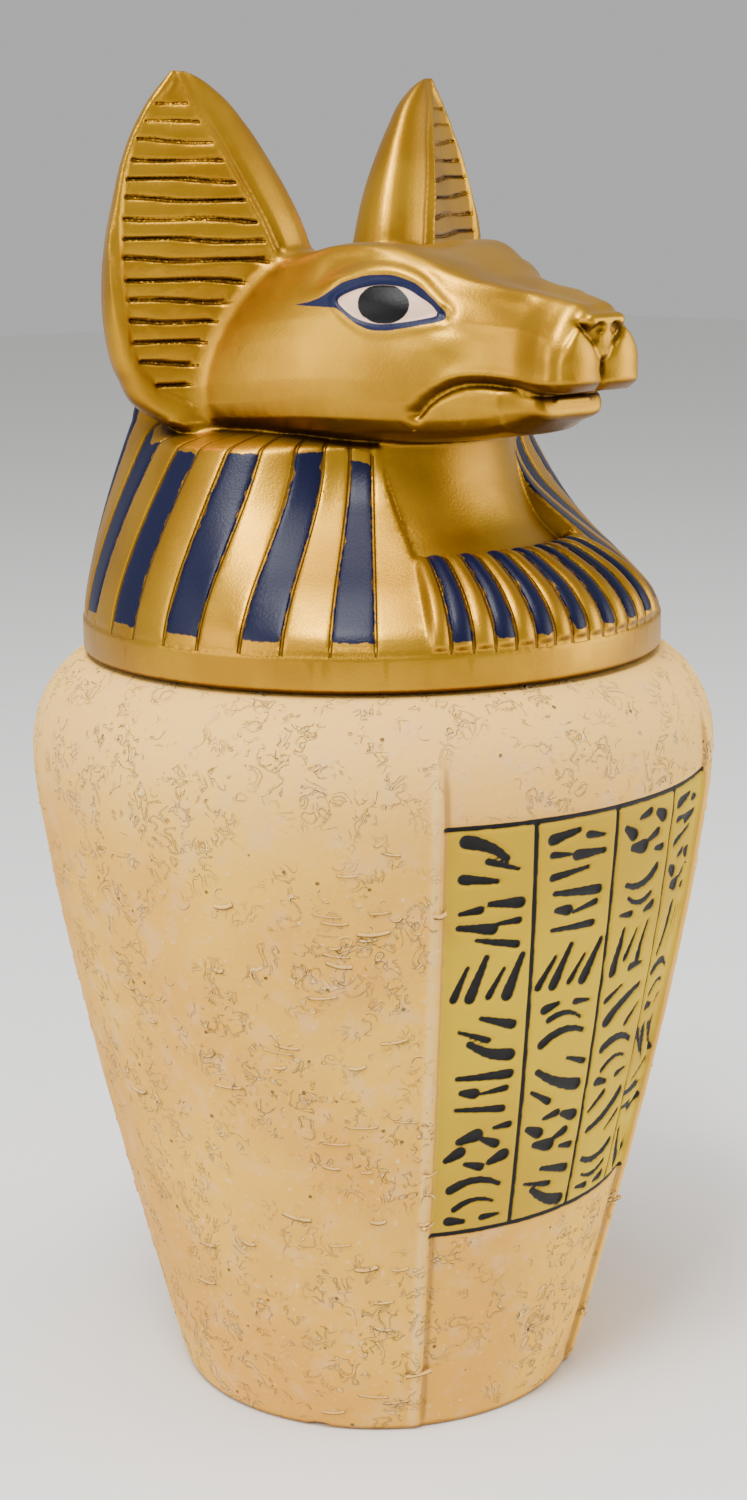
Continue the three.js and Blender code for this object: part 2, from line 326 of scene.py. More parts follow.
# Signed distances in mm to the painted and cut shapes of the front panel.
def panelFields(angle, z):
    mm = perDegree * wallRadius(np.minimum(z, shoulderZ))
    low, high = jar["panelLow"], jar["panelHigh"]
    edges = columnEdges(z)
    inside = np.maximum.reduce([low - z, z - high, (edges[0] - angle) * mm, (angle - edges[-1]) * mm])
    border = np.abs(np.maximum(low - z, z - high)) + 3 * np.maximum(0, np.abs(angle) - 31.5) * mm
    lines = border
    for edge in edges[1:-1]:
        away = np.abs(angle - edge) * mm + 5 * np.maximum(0, np.maximum(low - z, z - high))
        lines = np.minimum(lines, away)
    lines = lines - jar["lineWidth"] / 2
    marks = np.full_like(angle, 9.0)
    near = (inside < 3)
    pa, pz, pm = angle[near], z[near], mm[near]
    best = np.full_like(pa, 9.0)
    for (a0, z0, w0), (a1, z1, w1) in panelStrokes():
        close = (np.abs(pz - (z0 + z1) / 2) < 3.5) & (np.abs(pa - (a0 + a1) / 2) < 4.5)
        away = segmentDistance(pa[close] * pm[close], pz[close], a0 * pm[close], z0, a1 * pm[close], z1)
        best[close] = np.minimum(best[close], away - (w0 + w1) / 2)
    marks[near] = best
    return inside, np.minimum(lines, marks)


def scatter(tree, wall, density, seed, radius, sweep, thick, level):
    # small raised arcs spread over the wall, level ones lying along it; sizes in metres
    geometry = addNode(tree, "GeometryNodeDistributePointsOnFaces", {},
                       {"Mesh": wall, "Density": density, "Seed": seed})
    arc = addNode(tree, "GeometryNodeCurveArc", {"mode": "RADIUS"},
                  {"Resolution": 8, "Radius": radius, "Start Angle": 1.571 - sweep / 2, "Sweep Angle": sweep})
    profile = addNode(tree, "GeometryNodeCurvePrimitiveCircle", {}, {"Resolution": 5, "Radius": thick})
    along = addNode(tree, "GeometryNodeSplineParameter")
    taper = addNode(tree, "ShaderNodeFloatCurve", {}, {"Value": along.outputs["Factor"]})
    points = taper.mapping.curves[0].points
    points[0].location, points[1].location = (0, 0.25), (1, 0.25)
    points.new(0.5, 1.0)
    taper.mapping.update()
    arc = addNode(tree, "GeometryNodeSetCurveRadius", {},
                  {"Curve": arc.outputs["Curve"], "Radius": taper.outputs[0]})
    lip = addNode(tree, "GeometryNodeCurveToMesh", {},
                  {"Curve": arc.outputs[0], "Profile Curve": profile.outputs[0], "Fill Caps": True})
    centred = addNode(tree, "GeometryNodeTransform", {},
                      {"Geometry": lip.outputs[0], "Translation": (0, -radius, -0.4 * thick)})
    turn = geometry.outputs["Rotation"]
    if level:
        sideways = addNode(tree, "ShaderNodeVectorMath", {"operation": "CROSS_PRODUCT"},
                           {0: geometry.outputs["Normal"], 1: (0, 0, 1)})
        turn = addNode(tree, "FunctionNodeAlignRotationToVector", {"axis": "X", "pivot_axis": "Z"},
                       {"Rotation": turn, "Vector": sideways.outputs[0]}).outputs[0]
    spin = addNode(tree, "FunctionNodeRandomValue", {"data_type": "FLOAT_VECTOR"},
                   {"Min": (0, 0, -0.2 if level else 0), "Max": (0, 0, 0.2 if level else 6.28), "Seed": seed})
    turn = addNode(tree, "FunctionNodeRotateRotation", {"rotation_space": "LOCAL"},
                   {"Rotation": turn, "Rotate By": addNode(tree, "FunctionNodeEulerToRotation", {},
                                                           {0: spin.outputs["Value"]}).outputs[0]}).outputs[0]
    size = addNode(tree, "FunctionNodeRandomValue", {"data_type": "FLOAT_VECTOR"},
                   {"Min": (0.35, 0.35, 0.5), "Max": (1.2, 1.1, 1.0), "Seed": seed})
    placed = addNode(tree, "GeometryNodeInstanceOnPoints", {},
                     {"Points": geometry.outputs["Points"], "Instance": centred.outputs[0], "Rotation": turn,
                      "Scale": size.outputs["Value"]})
    out = addNode(tree, "GeometryNodeRealizeInstances", {}, {"Geometry": placed.outputs[0]}).outputs[0]
    for name, value in (("paint", 20.0), ("cut", 20.0), ("ridgeWearAndShade", 0.0), ("raised", 1.0)):
        out = addNode(tree, "GeometryNodeStoreNamedAttribute", {"data_type": "FLOAT", "domain": "POINT"},
                      {"Geometry": out, "Name": name, "Value": value}).outputs[0]
    return out


def reliefTree(material):
    # the wall's uneven casting, with curled and torn lips standing just proud of it
    tree = bpy.data.node_groups.new("stone_relief", "GeometryNodeTree")
    for name, kind in (("Geometry", "Geometry"), ("Relief", "Float"), ("Curls", "Float"),
                       ("Dashes", "Float"), ("Seed", "Int")):
        tree.interface.new_socket(name, in_out="INPUT", socket_type="NodeSocket" + kind)
    tree.interface.new_socket("Geometry", in_out="OUTPUT", socket_type="NodeSocketGeometry")
    source = addNode(tree, "NodeGroupInput")
    stone, torn = (addNode(tree, "GeometryNodeInputNamedAttribute", {"data_type": "FLOAT"},
                           {"Name": name}).outputs[0] for name in ("stone", "torn"))
    place = addNode(tree, "GeometryNodeInputPosition").outputs[0]
    broad = noise(tree, place, 11, 4.0)
    height = times(tree, maths(tree, "SUBTRACT", broad, 0.5), source.outputs["Relief"])
    height = times(tree, height, stone)
    normal = addNode(tree, "GeometryNodeInputNormal").outputs[0]
    offset = addNode(tree, "ShaderNodeVectorMath", {"operation": "SCALE"}, {0: normal, "Scale": height})
    wall = addNode(tree, "GeometryNodeSetPosition", {},
                   {"Geometry": source.outputs["Geometry"], "Offset": offset.outputs[0]}).outputs[0]
    patches = step(tree, noise(tree, place, 26, 3.0), 0.42, 0.62)
    curlDensity = times(tree, times(tree, patches, stone), source.outputs["Curls"])
    dashDensity = times(tree, torn, source.outputs["Dashes"])
    curls = scatter(tree, wall, curlDensity, source.outputs["Seed"], 0.0011, 3.4, 0.00022, False)
    dashes = scatter(tree, wall, dashDensity, source.outputs["Seed"], 0.0060, 0.75, 0.00052, True)
    joined = addNode(tree, "GeometryNodeJoinGeometry")
    for part in (dashes, curls, wall):
        tree.links.new(part, joined.inputs[0])
    whole = addNode(tree, "GeometryNodeRealizeInstances", {}, {"Geometry": joined.outputs[0]}).outputs[0]
    whole = addNode(tree, "GeometryNodeSetMaterial", {}, {"Geometry": whole})
    whole.inputs["Material"].default_value = material
    addNode(tree, "NodeGroupOutput", {}, {"Geometry": whole.outputs[0]})
    return tree


def ringMesh(name, rings, floorZ):
    # a closed mesh of rings, foot first, with a fan under the foot and one on the floor inside
    rows, count = rings.shape[:2]
    points = np.concatenate([rings.reshape(-1, 3), [[0, 0, 0], [0, 0, floorZ]]])
    row, column = np.meshgrid(np.arange(rows - 1), np.arange(count), indexing="ij")
    after = (column + 1) % count
    quads = np.stack([row * count + column, row * count + after, (row + 1) * count + after,
                      (row + 1) * count + column], -1).reshape(-1, 4)
    foot, base = rows * count, rows * count + 1
    fans = [[(i + 1) % count, i, foot] for i in range(count)]
    start = (rows - 1) * count
    fans += [[start + i, start + (i + 1) % count, base] for i in range(count)]
    mesh = bpy.data.meshes.new(name)
    mesh.from_pydata((points * 0.001).tolist(), [], quads.tolist() + fans)
    return mesh


def makeJar(material):
    outer = jarOutline()
    front = np.arange(-jar["ridgeAngle"] - 3.6, jar["ridgeAngle"] + 3.6, 0.44)
    rest = np.linspace(front[-1] + 1.2, 360 + front[0] - 1.2, 118)
    angles = np.concatenate([front, rest])
    angles = np.where(angles > 180, angles - 360, angles)
    r = np.array([row[0] for row in outer])[:, None] + 0 * angles[None, :]
    z = np.array([row[1] for row in outer])[:, None] + 0 * angles[None, :]
    a = angles[None, :] + 0 * z
    mm = perDegree * r
    side = np.abs(a)
    ridge = jar["ridgeAngle"]
    # the front stands back behind a raised strip at each side, and runs out into the shoulder
    lift = smooth(129, 117, z) * smooth(-2, 3, z)
    inward = (ridge - side) * mm
    r = r - jar["recess"] * lift * smooth(0, jar["stepWidth"], inward)
    strip = np.exp(-((inward + jar["ridgeWidth"] / 2) / (0.55 * jar["ridgeWidth"])) ** 4)
    r = r + 0.35 * strip * lift
    # paler wear along the raised strip, and painted shade in the recess just inside it
    ridgeWearAndShade = (strip - 0.9 * bell(inward - 0.9, 0.9)) * lift * (side < ridge + 6)
    paint, cut = panelFields(a, z)
    r = r - jar["strokeDepth"] * smooth(0.35, -0.35, cut)
    # a chip out of the foot, beside the front
    chip = np.hypot((a - jar["chipAngle"]) * mm, (z + 0.6) * 1.1)
    r = r - jar["chipDepth"] * smooth(2.6, 0.9, chip)
    rad = np.radians(a)
    outerPoints = np.stack([r * np.sin(rad), -r * np.cos(rad), z], -1)
    inner = [(jar["mouth"] + out, jarTop - down)
             for out, down in ((0.8, 0), (0, 0.8), (0, 7), (3, 10), (7.5, 13))]
    for level in np.linspace(jarTop - 20, jar["floor"] + 5, 12):
        inner.append((float(wallRadius(level)) - jar["wall"], level))
    inner += [(wallR[0] - jar["wall"] + 1.6, jar["floor"] + 1.0), (wallR[0] - 6, jar["floor"])]
    innerPoints = [np.stack([ir * np.sin(rad[0]), -ir * np.cos(rad[0]), np.full(len(angles), iz)], -1)
                   for ir, iz in inner]
    mesh = ringMesh("jar_wall", np.concatenate([outerPoints, np.array(innerPoints)], 0), jar["floor"])
    spare = len(mesh.vertices) - paint.size
    offPanel = (z > jar["panelHigh"] + 2) | (z < jar["panelLow"] - 2)
    outside = np.where(side > ridge - 1, 1.0, np.where(offPanel, 0.8, 0.0))
    outside = outside * smooth(1, 4, z) * smooth(jarTop - 1, jarTop - 3, z)
    nearRidge = bell(side - jar["tornAngle"], 12) + bell(side + jar["tornAngle"], 12) + 0.25
    torn = outside * nearRidge * smooth(shoulderZ, shoulderZ - 15, z)
    for name, values, past in (("paint", paint, 20), ("cut", cut, 20), ("stone", outside, 0),
                               ("ridgeWearAndShade", ridgeWearAndShade, 0), ("torn", torn, 0)):
        setAttribute(mesh, name, np.concatenate([values.ravel(), np.full(spare, float(past))]))
    wall = placeObject("jar_wall", mesh)
    relief = wall.modifiers.new("relief", "NODES")
    relief.node_group = reliefTree(material)
    values = {"Relief": jar["relief"] * 0.001, "Curls": jar["curls"], "Dashes": jar["dashes"],
              "Seed": jar["reliefSeed"]}
    for item in relief.node_group.interface.items_tree:
        if item.name in values:
            relief[item.identifier] = values[item.name]
    done = finishedMesh(wall)
    wall.modifiers.clear()
    wall.data = done
    wall.name = "jar_body"
    smoothShaded(done)
    bpy.context.view_layer.update()
    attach(wall, "root")
    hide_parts("jar")
    print("jar mesh", sum(len(p.vertices) - 2 for p in done.polygons), "triangles")
    return wall


# The lid, in mm and degrees. Its stripes run round the back from one lappet to the other.
lid = {
    "cell": 0.4, "rim": 50.4, "rimHeight": 6.3, "chamfer": 0.6, "plug": 34.8, "plugDepth": 4.2, "gap": 0.3,
    "wigFoot": 50.1, "wigLow": 139.6, "wigTop": 172.0, "wigTurn": 3.4, "lappet": 32.0,
    "stripePitch": 17.25, "stripes": 17, "firstStripe": 38.5, "stripeWidth": 8.2,
    "grooveDepth": 0.32, "grooveWidth": 0.32,
    "ribs": 15, "ribRelief": 0.75, "earTurn": 28.8, "earX": 31.0, "earY": 9.7, "jawFront": -48.4,
    "triangles": 185000,
    "gold": ("#AC7B18", "#BE8D1E"), "navy": "#0B0F2D", "liner": "#0E1438", "eyeWhite": "#E6BFA2",
}
lidUnder = jarTop + lid["gap"]
rimTop = lidUnder + lid["rimHeight"]
# The collar and neck in front, and the wig's edge beside them, as radius and height; then the wig's top
# as degrees from the front and radius.
frontProfile = [[lid["wigFoot"], lid["wigLow"]], [49.4, 142.2], [47.6, 145], [44.2, 148.2], [38.6, 151.4],
                [35.2, 152.2], [33.4, 151.6], [29.4, 155.6], [26.6, 161], [25, 167], [24.6, 176]]
lappetProfile = [[lid["wigFoot"], lid["wigLow"]], [49, 142], [47, 144.4], [43.4, 148], [39, 151.4],
                 [35, 154.6], [31, 158], [27.8, 161.4], [25.4, 166], [24.8, 172]]
wigTopRadius = np.array([[40, 25], [62, 31.5], [96, 34.2], [116, 37.4], [130, 41], [180, 42]])
frontEdge = 5  # the row where the collar's top turns up into the neck

# One row per upright section of the head, from the nose back: y, crown z, top half width and z,
# cheek half width and z, jaw half width and z, chin z.
headSections = np.array([
    [-53.4, 191.2, 3.8, 190.8, 7.6, 184.0, 5.4, 176.4, 175.2],
    [-52.4, 192.0, 4.6, 191.6, 8.8, 184.2, 6.8, 175.6, 174.2],
    [-50, 192.6, 5.2, 192.4, 9.5, 184.5, 7.6, 174.8, 173.5],
    [-44, 193.6, 6.0, 193.4, 9.8, 184.5, 8.6, 174.0, 172.3],
    [-38, 194.7, 6.6, 194.3, 12.0, 184.5, 10.6, 172.8, 171.2],
    [-32, 196.3, 8.5, 195.6, 14.8, 185.0, 13.2, 172.2, 170.4],
    [-26, 198.6, 12.0, 198.0, 18.0, 186.0, 16.6, 172.0, 169.8],
    [-20, 200.4, 14.5, 200.3, 20.8, 187.0, 19.6, 172.0, 169.5],
    [-12, 200.6, 16.0, 200.9, 24.2, 187.0, 23.0, 172.0, 169.0],
    [-2, 199.9, 17.0, 199.4, 26.8, 186.0, 25.5, 171.5, 168.5],
    [10, 199.0, 16.0, 197.9, 28.0, 184.0, 26.5, 171.0, 168.0],
    [22, 196.0, 14.0, 194.2, 27.0, 181.0, 25.0, 170.5, 168.0],
    [32, 190.0, 10.0, 188.5, 20.0, 178.0, 18.0, 171.0, 169.0],
    [37, 182.0, 5.0, 181.0, 10.0, 176.0, 8.0, 172.0, 171.0]])

# One row per level section of an ear: z, outer edge, ridge, inner bulge, back depth, lean.
earSections = np.array([
    [168.4, -6, -8, -9, -3, 0],
    [169.6, -3.5, -12, -13.5, -5.5, 0],
    [171, 1.5, -13.5, -16, -7.5, 0],
    [174, 7.7, -14, -18.5, -10, 0],
    [180, 11.9, -14.4, -20, -12, 0],
    [188, 13.7, -15.5, -22, -14, 0],
    [196, 13.8, -16.5, -23, -14.5, 0],
    [203, 13.1, -12.9, -21.4, -14.3, 0],
    [209, 11.8, -10.5, -18.8, -12.8, -0.9],
    [215, 10.2, -7.7, -15.4, -10.6, -2],
    [221, 7.6, -4.5, -11.4, -7.8, -3.3],
    [226, 4.4, -2, -7, -5, -4.4],
    [228.6, 2.2, -0.4, -3.4, -2.6, -5],
    [230, 1.0, 0.6, -0.6, -1, -5.3]])


def smoothRow(table, key):
    # one row of a table at any key, eased between its rows
    keys = table[:, 0]
    key = min(max(key, keys[0]), keys[-1])
    i = int(np.clip(np.searchsorted(keys, key) - 1, 0, len(keys) - 2))
    gap = keys[i + 1] - keys[i]
    slopes = gap * np.gradient(table, keys, axis=0)
    return hermite((key - keys[i]) / gap, table[i], table[i + 1], slopes[i], slopes[i + 1])


def closedCurve(corners, perSpan=5, sharp=()):
    # Catmull-Rom through the corners; a corner named in sharp stays a corner
    p = np.array(corners, float)
    n = len(p)
    out = []
    for i in range(n):
        a, b, c, d = p[i - 1], p[i], p[(i + 1) % n], p[(i + 2) % n]
        leave = (c - b) if i in sharp else (c - a) / 2
        arrive = (c - b) if (i + 1) % n in sharp else (d - b) / 2
        out += [hermite(k / perSpan, b, c, leave, arrive) for k in range(perSpan)]
    return np.array(out)


def polygonDistance(u, v, outline):
    # signed distance to a closed outline, negative inside
    best = np.full(u.shape, 1e9, np.float32)
    inside = np.zeros(u.shape, bool)
    for (ax, ay), (bx, by) in zip(outline, np.roll(outline, -1, 0)):
        dx, dy = bx - ax, by - ay
        t = np.clip(((u - ax) * dx + (v - ay) * dy) / (dx * dx + dy * dy + 1e-9), 0, 1)
        best = np.minimum(best, (u - ax - t * dx) ** 2 + (v - ay - t * dy) ** 2)
        if ay != by:
            inside ^= ((ay > v) != (by > v)) & (u < (bx - ax) * (v - ay) / (by - ay) + ax)
    return np.where(inside, -np.sqrt(best), np.sqrt(best))


def smoothMin(a, b, soft):
    h = np.clip(0.5 + 0.5 * (b - a) / soft, 0, 1)
    return b * (1 - h) + a * h - soft * h * (1 - h)


def foldStripe(angle):
    # signed angle past the edge of the nearest blue stripe: negative inside the blue
    local = (angle - lid["firstStripe"]) % 360
    index = np.clip(np.round(local / lid["stripePitch"]), 0, lid["stripes"] - 1)
    away = np.abs(local - index * lid["stripePitch"])
    away = np.minimum(away, np.abs(local - 360))
    return away - lid["stripeWidth"] / 2


def ribPlace(angle):
    # place across its collar rib, -1 to 1, and whether the rib is blue
    width = 2 * lid["lappet"] / lid["ribs"]
    place = (angle + lid["lappet"]) / width
    index = np.clip(np.floor(place), 0, lid["ribs"] - 1)
    return (place - index) * 2 - 1, index % 2 == 1


def lappetEdge(z):
    return lid["lappet"] - 0.5 + 6.5 * smooth(152, 170, z)


def easedProfile(rows, steps=6):
    # more rows of a profile, on a smooth curve through it
    p = np.array(rows, float)
    p = np.concatenate([[2 * p[0] - p[1]], p, [2 * p[-1] - p[-2]]])
    out = [hermite(t, b, c, (c - a) / 2, (d - b) / 2)
           for a, b, c, d in zip(p[:-3], p[1:-2], p[2:-1], p[3:]) for t in np.arange(steps) / steps]
    return np.array(out + [p[-2]])


def wigRadius(side, z):
    # the wig's side wall, without the neck and collar
    t = np.clip((z - lid["wigLow"]) / (lid["wigTop"] - lid["wigLow"]), 0, 1)
    bulged = mix(lid["wigFoot"], np.interp(side, *wigTopRadius.T), t ** 1.4)
    lappet = np.interp(z, lappetRows[:, 1], lappetRows[:, 0])
    wall = mix(lappet, bulged, smooth(46, 92, side))
    behind = smooth(106, 140, side)
    turnIn = lid["wigTop"] - mix(lid["wigTurn"], 0, behind)
    over = np.clip((z - turnIn) / mix(4, 20, behind), 0, 1)
    return np.where(z > turnIn, wall * np.sqrt(np.maximum(0, 1 - over ** 2)) - 3 * (over >= 1), wall)


lappetRows = easedProfile(lappetProfile)
frontRows = np.concatenate([easedProfile(part) for part in
                            (frontProfile[:frontEdge + 1], frontProfile[frontEdge + 1:])])


def wigField(angle, r, z):
    # one level of the wig, collar, rim and plug, as distances
    side = np.abs(angle)
    wall = wigRadius(side, z)
    slope = (wigRadius(side, z + 0.4) - wigRadius(side, z - 0.4)) / 0.8
    edge = foldStripe(angle) * perDegree * np.maximum(r, 20)
    groove = lid["grooveDepth"] * bell(edge, lid["grooveWidth"]) + 0.1 * smooth(0.1, -0.3, edge)
    onWall = smooth(rimTop + 0.2, rimTop + 1.0, z)
    hood = (r - wall + groove * onWall) / np.sqrt(1 + slope ** 2)
    low = rimTop - 2
    hood = np.maximum(hood, low - z)
    outline = np.concatenate([[[0, low], [lid["wigFoot"], low]], frontRows, [[0, frontProfile[-1][1]]]])
    rib = lid["ribRelief"] * (1 - np.abs(ribPlace(angle)[0]) ** 2.6) * smooth(33.8, 36.5, r)
    rib = rib * smooth(rimTop, rimTop + 1.2, z) * smooth(153.5, 152.6, z)
    neck = polygonDistance(np.broadcast_to(r, angle.shape), np.full(angle.shape, z), outline) - rib
    shape = mix(neck, hood, smooth(-0.9, 0.6, side - lappetEdge(z)))
    out = r - lid["rim"]
    rim = np.maximum(np.maximum(lidUnder - z, z - rimTop), out)
    fromMiddle = abs(z - (lidUnder + rimTop) / 2)
    rim = np.maximum(rim, (out + fromMiddle - lid["rimHeight"] / 2 + lid["chamfer"]) * 0.7071)
    plug = np.maximum(np.maximum(lidUnder - lid["plugDepth"] - z, z - lidUnder - 1), r - lid["plug"])
    return np.minimum(np.minimum(shape, rim), plug)


def headOutline(y):
    row = smoothRow(headSections, y)
    crown, topW, topZ, cheekW, cheekZ, jawW, jawZ, chin = row[1:]
    half = [[0, chin], [jawW, jawZ], [cheekW, cheekZ], [topW, topZ], [0, crown]]
    corners = half + [[-x, z] for x, z in half[-2:0:-1]]
    return closedCurve(corners)


def earOutline(z):
    row = smoothRow(earSections, z)
    outer, ridge, bulge, back, lean = row[1:]
    rim = 0.6 + 4.6 * float(smooth(206, 176, z))
    thick = min(1.0, (outer - ridge) / 9)
    corners = [[outer - rim - 0.3, 0], [mix(outer - rim, ridge, 0.5), -0.35], [ridge, 0],
               [mix(ridge, bulge, 0.75), back * 0.27], [bulge, back * 0.62], [mix(bulge, ridge, 0.6), back],
               [mix(ridge, outer, 0.45), back * 0.9], [outer - 1.6 * thick, back * 0.5],
               [outer, back * 0.24], [outer - 0.35 * rim, -0.4 * thick]]
    line = closedCurve(corners, 4, sharp=(2,))
    line[:, 1] += lean
    return line


def earPlace(x, y):
    # across the ear's face, positive away from the head, and out of its face
    turn = math.radians(lid["earTurn"])
    xe, ye = np.abs(x) - lid["earX"], y - lid["earY"]
    return xe * math.cos(turn) + ye * math.sin(turn), xe * math.sin(turn) - ye * math.cos(turn)


# The hollowed, banded face of an ear, as places across it and heights.
earFace = np.array([
    [0.3, 228.2], [5.0, 224.1], [8.2, 218.4], [9.9, 212.9], [11, 206], [11.2, 199], [10.6, 192],
    [10.1, 185], [8.4, 181.2], [5.6, 177.7], [-2.4, 174.3], [-10.5, 171.8], [-11.9, 175], [-11.7, 181.2],
    [-12.7, 187.9], [-14.2, 191.8], [-16.1, 195.9], [-14.8, 198.8], [-12.2, 205.1], [-8.7, 211.7],
    [-5.3, 218.3], [-1.6, 224.3]])


def bandCount(across, z):
    # how many bands down from the tip a place is, as the bands grow wider and waver a little
    level = z - 0.03 * (across - 6)
    level = level + 0.2 * np.sin(across * 0.31 + level * 0.7)
    first, pitch, growth = 224.3, 3.05, 0.016
    count = (np.sqrt(np.maximum(pitch ** 2 + 4 * growth * (first - level), 0)) - pitch) / (2 * growth)
    return np.where(level > first, (first - level) / pitch, count)


def earDetail(x, y, z):
    # how far the surface is cut in: sixteen lapped bands in a face set behind its rim
    across, depth = earPlace(x, y)
    lean = np.interp(z, earSections[:, 0], earSections[:, 5])
    facing = smooth(-3.2, -1.8, depth - lean)
    inside = polygonDistance(across, z, earFace)
    count = bandCount(across, z)
    part = count - np.floor(count)
    band = (0.22 * part + 0.5 * smooth(0.72, 0.86, part)) * smooth(1.0, 0.9, part)
    band = band * smooth(0.0, -0.7, inside) * (count > -1) * smooth(16, 15.4, count)
    crest = np.interp(z, earSections[:, 0], earSections[:, 2])
    valley = 0.75 * bell(inside - 1.4, 0.8) * smooth(crest + 1.2, crest - 0.4, across) * smooth(190, 196, z)
    return facing * (0.45 * smooth(0.3, -0.3, inside) + band + valley) * mix(1, 0.55, smooth(212, 226, z))


noPaint = 3.0  # a painted line's distance where there is none, in mm


def bandGroove(x, y, z):
    # distance in mm to the nearest groove between an ear's bands
    across, depth = earPlace(x, y)
    lean = np.interp(z, earSections[:, 0], earSections[:, 5])
    count = bandCount(across, z)
    away = np.abs(count - np.round(count - 0.9) - 0.9) * (3.05 + 0.032 * count)
    offFace = np.maximum(polygonDistance(across, z, earFace) + 0.5, -2.2 - (depth - lean))
    away = np.where((count > -1) & (count < 16), away, noPaint)
    return np.maximum(away, offFace)


def eyePlace(ax, y, z):
    # along the eye towards its tail, upwards, and out of its surface; ax is how far x is from the middle
    out = (ax - 17.5) * 0.931 - (y + 24.9) * 0.366
    along = (ax - 17.5) * 0.366 + (y + 24.9) * 0.931 + 0.5 * out
    return along, z - 192 - 0.05 * out, out


eyeOpening = closedCurve([
    [9.6, 0.9], [6.8, 2.4], [3.2, 3.2], [0.5, 3.3], [-2.6, 2.8], [-5.2, 1.4], [-7.2, 0.1],
    [-8.0, -1.3], [-5.6, -1.9], [-1.7, -2.5], [2.4, -2.8], [5.6, -2.2], [7.9, -1.0]], 4)
eyeLiner = closedCurve([
    [17.6, 0.1], [14.4, 0.7], [11.9, 1.8], [9.1, 3.5], [5.6, 4.6], [2.5, 5.0], [-0.9, 4.8],
    [-4.3, 3.6], [-6.9, 1.7], [-9.6, -0.9], [-9.2, -2.1], [-5.1, -2.9], [-1.7, -3.5],
    [1.8, -3.9], [5.2, -3.4], [7.8, -1.9], [10.0, -0.4], [13.4, -0.2]], 4, sharp=(0, 9))
# The brow as x, y, z, and the mouth as y and z.
browLine = [[18.5, -2, 197.8], [17.0, -10, 200.8], [15.2, -17, 201.1], [12.6, -25, 198.7], [9.4, -31, 196.2],
            [7.4, -36, 194.9], [6.2, -44, 193.5]]
mouthLine = np.array([[-58, 178.9], [-50.2, 178.9], [-46.5, 179.2], [-43, 179.7], [-40, 180.0], [-38, 180.0],
                      [-36, 179.8], [-34, 179.2], [-32.2, 178.2], [-30.4, 176.8], [-28.8, 175.0]])


def lineDistance(place, corners):
    # distance to an open chain of points, in two or three dimensions
    best = None
    for a, b in zip(corners[:-1], corners[1:]):
        a, b = np.array(a, float), np.array(b, float)
        t = np.clip(sum((p - s) * (e - s) for p, s, e in zip(place, a, b)) / np.sum((b - a) ** 2), 0, 1)
        away = sum((p - s - t * (e - s)) ** 2 for p, s, e in zip(place, a, b))
        best = away if best is None else np.minimum(best, away)
    return np.sqrt(best)


def headDetail(x, y, z):
    # how far the surface is cut in, or raised where negative: eyes, brows, lips and muzzle
    ax = np.abs(x)
    along, up, out = eyePlace(ax, y, z)
    onSide = smooth(-7, -4, out) * smooth(4, 7, ax)
    opening = polygonDistance(along, up, eyeOpening)
    liner = polygonDistance(along, up, eyeLiner)
    above = smooth(-1.5, 1.5, up - 0.12 * along)
    ball = 0.55 - 1.1 * np.clip(1 - ((along - 0.8) / 9) ** 2 - ((up - 0.2) / 3.6) ** 2, 0, 1)
    cut = onSide * smooth(0.25, -0.3, opening) * ball
    cut -= onSide * 0.3 * bell((opening - 0.8), 0.7) * (opening > -0.2)
    cut -= onSide * above * 0.75 * bell(liner - 0.7, 0.9) * smooth(14, 9, along)
    socket = smooth(1.3, 2.6, liner) * smooth(7.0, 2.9, liner)
    cut += onSide * above * 0.75 * socket * smooth(16, 10, along) * smooth(-10, -5, along)
    cut -= onSide * (1 - above) * 0.25 * bell(liner - 0.6, 0.7) * smooth(12, 8, along)
    cut += onSide * 0.5 * bell(np.hypot(along + 9.4, up + 1.2), 1.0)
    cut -= onSide * 0.7 * bell(np.hypot((along + 6.5) / 4.5, (up + 6.0) / 2.6), 1.0)  # cheekbone
    cut -= 0.65 * bell(lineDistance((ax, y, z), browLine), 2.0)
    lipZ = np.interp(y, mouthLine[:, 0], mouthLine[:, 1])
    fromLip = lineDistance((y, z), mouthLine)
    above = z - lipZ
    front = smooth(-31, -37, y)
    cut += 1.5 * bell(fromLip, 0.85) * mix(0.45, 1, smooth(-50, -46, y))
    cut -= 0.45 * bell(above - 1.7, 1.1) * front
    cut += 0.7 * smooth(0.3, -0.3, above) * smooth(-4.2, -0.4, above) * smooth(-34, -44, y)
    crease = np.interp(y, [-52, -36], [187.4, 189.8])
    cut -= 0.28 * bell(z - crease, 1.0) * smooth(-33, -37, y) * smooth(-52, -49, y)
    return cut


def ellipsoid(x, y, z, centre, radii):
    near = np.sqrt(sum(((p - c) / r) ** 2 for p, c, r in zip((x, y, z), centre, radii)))
    steep = np.sqrt(sum(((p - c) / r ** 2) ** 2 for p, c, r in zip((x, y, z), centre, radii)))
    return near * (near - 1) / np.maximum(steep, 1e-6)


